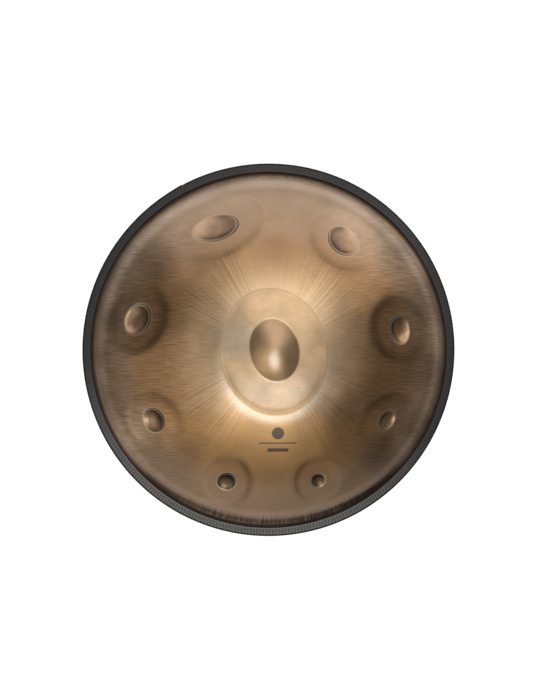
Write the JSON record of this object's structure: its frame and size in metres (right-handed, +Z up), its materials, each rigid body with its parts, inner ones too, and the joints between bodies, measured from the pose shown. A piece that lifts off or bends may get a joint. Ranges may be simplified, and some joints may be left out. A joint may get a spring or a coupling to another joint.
{
  "type": "handpan",
  "caption": "Lens-shaped steel hand drum of two glued shells, with a raised centre note, a ring of dimpled tone fields, a sound port underneath and a ribbed rim trim.",
  "frame": {"origin": "middle of the flat ring round the sound port, on the surface the instrument rests on", "axes": "+Z up along the instrument's axis, towards the raised centre note; +X to the right and +Y away from the player, with the two smallest notes on the player's side"},
  "size_m": [0.5346, 0.5346, 0.2188],
  "materials": {
    "bronzed_steel": "brushed, heat-tinted to a golden bronze",
    "trim_rubber": "satin, finely ribbed",
    "carrier_steel": "bare, hidden inside the trim",
    "cured_adhesive": "cured bead, hidden between the flanges"
  },
  "bodies": {
    "root": {"top_shell": "bronzed_steel", "bottom_shell": "bronzed_steel", "flange_adhesive": "cured_adhesive", "edge_trim": "trim_rubber", "trim_carrier": "carrier_steel"}
  },
  "joints": []
}
